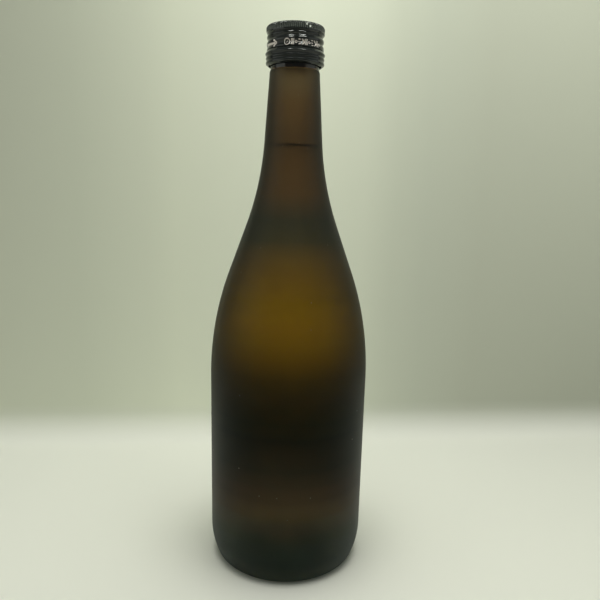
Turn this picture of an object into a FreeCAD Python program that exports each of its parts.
import FreeCAD, Part
import math
import os

from FreeCAD import Vector

# A 720 ml shochu bottle of frosted brown glass, filled to the neck and closed with a
# 28 mm roll-on aluminium screw cap. Millimetres. The bottle stands on z = 0 and its
# axis is the z axis. Every section is drawn as corners, each a radius from the axis,
# a height and a rounding, and is turned about the axis.

# Glass body, outside
body_diameter = 82.6         # at the shoulder corner
heel_taper = 0.5             # how much smaller the radius is at the heel
shoulder_height = 128.2      # corner between the body and the shoulder
shoulder_round = 159.0
shoulder_rise = 70.3         # from the shoulder corner up to the root of the neck
neck_root_diameter = 31.8
neck_root_round = 152.0
neck_length = 54.3           # from the root of the neck up to the collar
neck_top_diameter = 24.6

# Heel, foot and push-up
heel_height = 10.0           # corner between the body and the turned-in heel
heel_round = 38.0
foot_setback = 3.8           # the foot's edge lies this far inside the heel
foot_round = 4.0
bearing_width = 5.6          # ring that the bottle stands on
push_up_height = 5.0
push_up_flat = 14.0          # radius of the push-up's crown before it curves down
push_up_round = 80.0
bearing_round = 2.5

# Glass thickness
wall = 2.6
floor_thickness = 4.2
heel_thickness = 5.0         # height of the inside corner over the table
heel_inside_round = 9.0

# Finish, the part of the neck that takes the cap
collar_inset = 0.3           # step from the neck down to the smooth collar
collar_step = 0.7
collar_length = 2.2
bead_projection = 1.6        # locking bead that the cap's skirt is rolled under
bead_flank = 1.0
bead_land = 1.9
seal_projection = 0.4        # plain finish over the bead, measured from the collar
finish_length = 12.3         # from the bead's upper flank to the lip
lip_round = 1.1
small_round = 0.5

# Drink
headspace = 54.4             # from the lip down to the drink

# Cap
sheet = 0.3                  # aluminium
skirt_clearance = 0.25       # between the bead and the skirt's smallest ring valley
liner_thickness = 1.6
liner_clearance = 0.5        # liner's rim to the crown's side
crown_projection = 0.05      # crown against the ring's valleys
crown_height = 3.75          # from the top down to the bead-rolled crease
crown_round = 1.3
crease_depth = 0.45
crease_width = 1.1
band_inset = 0.25            # plain band against the ring's valleys
score_rise = 1.55            # perforated line over the crest of the ring's top rib
score_depth = 0.25
score_width = 0.5
slit_count = 12
slit_height = 0.3
bridge_width = 1.6           # metal left between two slits
ring_rib_count = 3
ring_rib_pitch = 2.05
ring_rib_height = 0.2
top_rib_extra = 0.3          # the rib next to the perforation stands out most
rib_round = 0.35
edge_land = 0.6              # from the last rib's crest down to where the skirt turns in
curl_round = 0.5
curl_tuck = 0.6              # the skirt turns in this far under the bead's land
curl_reach = 1.05            # how far the skirt's edge is rolled inwards
curl_drop = 0.7
knurl_count = 96
knurl_depth = 0.2
knurl_width = 0.55
knurl_length = 1.6
knurl_base = 0.8             # plain bead between the crease and the knurls


def unit(vector):
    return vector * (1.0 / vector.Length)


def rounded_edges(corners):
    """Lines and tangent arcs through (radius, height, rounding) corners.

    A rounding that its two lines have no room for is limited to what fits."""
    points = [Vector(radius, 0, height) for radius, height, rounding in corners]
    shares = [1.0 for corner in corners]
    reach = [0.0 for corner in corners]
    for i in range(1, len(corners) - 1):
        into = unit(points[i - 1] - points[i])
        out = unit(points[i + 1] - points[i])
        half = into.getAngle(out) / 2
        reach[i] = corners[i][2] / math.tan(half) if corners[i][2] else 0.0
    for i in range(len(corners) - 1):
        length = (points[i + 1] - points[i]).Length
        wanted = reach[i] + reach[i + 1]
        if wanted > 0.98 * length:
            share = 0.98 * length / wanted
            shares[i] = min(shares[i], share)
            shares[i + 1] = min(shares[i + 1], share)
    edges = []
    last = points[0]
    for i in range(1, len(corners) - 1):
        cut = reach[i] * shares[i]
        if cut < 1e-6:
            edges.append(Part.LineSegment(last, points[i]).toShape())
            last = points[i]
            continue
        into = unit(points[i - 1] - points[i])
        out = unit(points[i + 1] - points[i])
        half = into.getAngle(out) / 2
        radius = cut * math.tan(half)
        start = points[i] + into * cut
        end = points[i] + out * cut
        middle = points[i] + unit(into + out) * (radius / math.sin(half) - radius)
        edges.append(Part.LineSegment(last, start).toShape())
        edges.append(Part.Arc(start, middle, end).toShape())
        last = end
    edges.append(Part.LineSegment(last, points[-1]).toShape())
    return edges


def offset_corners(corners, distance):
    """The same section moved to the right of its direction of travel by distance.

    A rounding grows on the outside of a bend and shrinks on the inside."""
    normals = []
    for first, second in zip(corners, corners[1:]):
        along = unit(Vector(second[0] - first[0], 0, second[1] - first[1]))
        normals.append(Vector(along.z, 0, -along.x))
    moved = []
    for i, (radius, height, rounding) in enumerate(corners):
        before = normals[max(i - 1, 0)]
        after = normals[min(i, len(normals) - 1)]
        mitre = unit(before + after)
        shift = mitre * (distance / mitre.dot(after))
        turn = before.x * after.z - before.z * after.x
        new_rounding = rounding
        if rounding:
            new_rounding = max(rounding + math.copysign(1.0, turn) * distance, 0.0)
        moved.append((radius + shift.x, height + shift.z, new_rounding))
    return moved


def revolved(edges):
    wire = Part.Wire(edges)
    return Part.Face(wire).revolve(Vector(0, 0, 0), Vector(0, 0, 1), 360)


def closed_section(corners):
    """A section whose first and last corners lie on the axis, or join each other."""
    edges = rounded_edges(corners)
    first = edges[0].Vertexes[0].Point
    last = Vector(corners[-1][0], 0, corners[-1][1])
    edges.append(Part.LineSegment(last, first).toShape())
    return edges


# Places that follow from the sizes
body_radius = body_diameter / 2
heel_radius = body_radius - heel_taper
foot_radius = heel_radius - foot_setback
neck_root_height = shoulder_height + shoulder_rise
neck_top_height = neck_root_height + neck_length
neck_top_radius = neck_top_diameter / 2
collar_radius = neck_top_radius - collar_inset
bore_radius = collar_radius - wall
bead_bottom = neck_top_height + collar_step + collar_length
bead_top = bead_bottom + bead_flank + bead_land
bead_radius = collar_radius + bead_projection
seal_radius = collar_radius + seal_projection
lip_height = bead_top + bead_flank + finish_length
floor_height = push_up_height + floor_thickness
fill_height = lip_height - headspace
cap_inside_top = lip_height + liner_thickness
cap_top = cap_inside_top + sheet
valley_radius = bead_radius + skirt_clearance + sheet
crown_radius = valley_radius + crown_projection
band_radius = valley_radius - band_inset
crease_height = cap_top - crown_height - crease_width / 2
skirt_turn = bead_bottom + bead_flank - curl_tuck
last_rib = skirt_turn + edge_land
first_rib = last_rib + (ring_rib_count - 1) * ring_rib_pitch
score_height = first_rib + score_rise


def glass_wall_corners():
    return [
        (heel_radius, heel_height, heel_round),
        (body_radius, shoulder_height, shoulder_round),
        (neck_root_diameter / 2, neck_root_height, neck_root_round),
        (neck_top_radius, neck_top_height, small_round),
    ]


def inside_corners():
    """The inside of the glass, from the axis over the floor and up to the lip."""
    wall_inside = offset_corners(glass_wall_corners(), -wall)
    return [
        (0, floor_height, 0),
        (push_up_flat, floor_height, push_up_round),
        (wall_inside[0][0], heel_thickness, heel_inside_round),
        wall_inside[1],
        wall_inside[2],
        (bore_radius, bead_bottom, small_round),
        (bore_radius, lip_height, lip_round),
    ]


def make_glass():
    base = [
        (0, push_up_height, 0),
        (push_up_flat, push_up_height, push_up_round),
        (foot_radius - bearing_width, 0, bearing_round),
        (foot_radius, 0, foot_round),
    ]
    finish = [
        (collar_radius, neck_top_height + collar_step, small_round),
        (collar_radius, bead_bottom, small_round),
        (bead_radius, bead_bottom + bead_flank, 0),
        (bead_radius, bead_top, 0),
        (seal_radius, bead_top + bead_flank, 0),
        (seal_radius, lip_height, lip_round),
    ]
    outside = base + glass_wall_corners() + finish
    return revolved(closed_section(outside + inside_corners()[::-1]))


def make_drink():
    """What the bottle holds, up to the fill height."""
    bore_top = (0, lip_height, 0)
    cavity = revolved(closed_section(inside_corners() + [bore_top]))
    filled = Part.makeCylinder(body_radius, fill_height)
    return cavity.common(filled).Solids[0]


def skirt_outside_corners():
    """The cap's outside, from the middle of its top down to its rolled-in edge."""
    corners = [
        (0, cap_top, 0),
        (crown_radius, cap_top, crown_round),
        (crown_radius, crease_height + crease_width / 2, 0),
        (band_radius - crease_depth, crease_height, 0),
        (band_radius, crease_height - crease_width / 2, 0),
        (band_radius, score_height + score_width / 2, 0),
        (band_radius - score_depth, score_height, 0),
        (band_radius, score_height - score_width / 2, 0),
    ]
    for i in range(ring_rib_count):
        extra = top_rib_extra if i == 0 else 0.0
        height = first_rib - i * ring_rib_pitch
        corners.append((valley_radius + ring_rib_height + extra, height, rib_round))
        if i < ring_rib_count - 1:
            corners.append((valley_radius, height - ring_rib_pitch / 2, 0))
    corners.append((valley_radius + ring_rib_height / 2, skirt_turn, curl_round))
    corners.append((valley_radius - curl_reach, skirt_turn - curl_drop, 0))
    return corners


def slit_cutters():
    """Thin ring sectors at the perforated line; the metal between them is the bridges."""
    inner_radius = band_radius - score_depth - 2 * sheet
    bridge_angle = math.degrees(bridge_width / band_radius)
    step = 360.0 / slit_count
    base = Vector(0, 0, score_height - slit_height / 2)
    cutters = []
    for i in range(slit_count):
        outer = Part.makeCylinder(crown_radius, slit_height, base, Vector(0, 0, 1), step - bridge_angle)
        inner = Part.makeCylinder(inner_radius, slit_height, base, Vector(0, 0, 1), 360)
        sector = outer.cut(inner)
        sector.rotate(Vector(0, 0, 0), Vector(0, 0, 1), i * step)
        cutters.append(sector)
    return cutters


def knurl_cutters():
    """V-shaped grooves round the crown, each running out over its rounded top edge."""
    bottom = crease_height + crease_width / 2 + knurl_base
    cutters = []
    for i in range(knurl_count):
        tip = Vector(crown_radius - knurl_depth, 0, bottom)
        left = Vector(crown_radius + knurl_depth, -knurl_width, bottom)
        right = Vector(crown_radius + knurl_depth, knurl_width, bottom)
        groove = Part.Face(Part.makePolygon([tip, left, right, tip]))
        groove = groove.extrude(Vector(0, 0, knurl_length))
        groove.rotate(Vector(0, 0, 0), Vector(0, 0, 1), i * 360.0 / knurl_count)
        cutters.append(groove)
    return cutters


def make_cap():
    outside = skirt_outside_corners()
    inside = offset_corners(outside, sheet)
    shell = revolved(closed_section(outside + inside[::-1]))
    return shell.cut(slit_cutters() + knurl_cutters()).Solids[0]


def make_liner():
    """The sealing disc in the cap's crown, pressed on the lip."""
    rim = crown_radius - sheet - liner_clearance
    section = [
        (0, lip_height, 0),
        (rim, lip_height, 0),
        (rim, cap_inside_top, small_round),
        (0, cap_inside_top, 0),
    ]
    return revolved(closed_section(section))


nodes = {
    "bottle": make_glass(),
    "drink": make_drink(),
    "cap": make_cap(),
    "cap_liner": make_liner(),
}

os.makedirs("parts", exist_ok=True)
for name, shape in nodes.items():
    shape.exportStep("parts/" + name + ".step")
    box = shape.optimalBoundingBox(False, False)
    print(name, "valid", shape.isValid(), "solids", len(shape.Solids),
          "ml", round(shape.Volume / 1000, 2), "z", round(box.ZMin, 2), round(box.ZMax, 2),
          "x", round(box.XMax, 2))
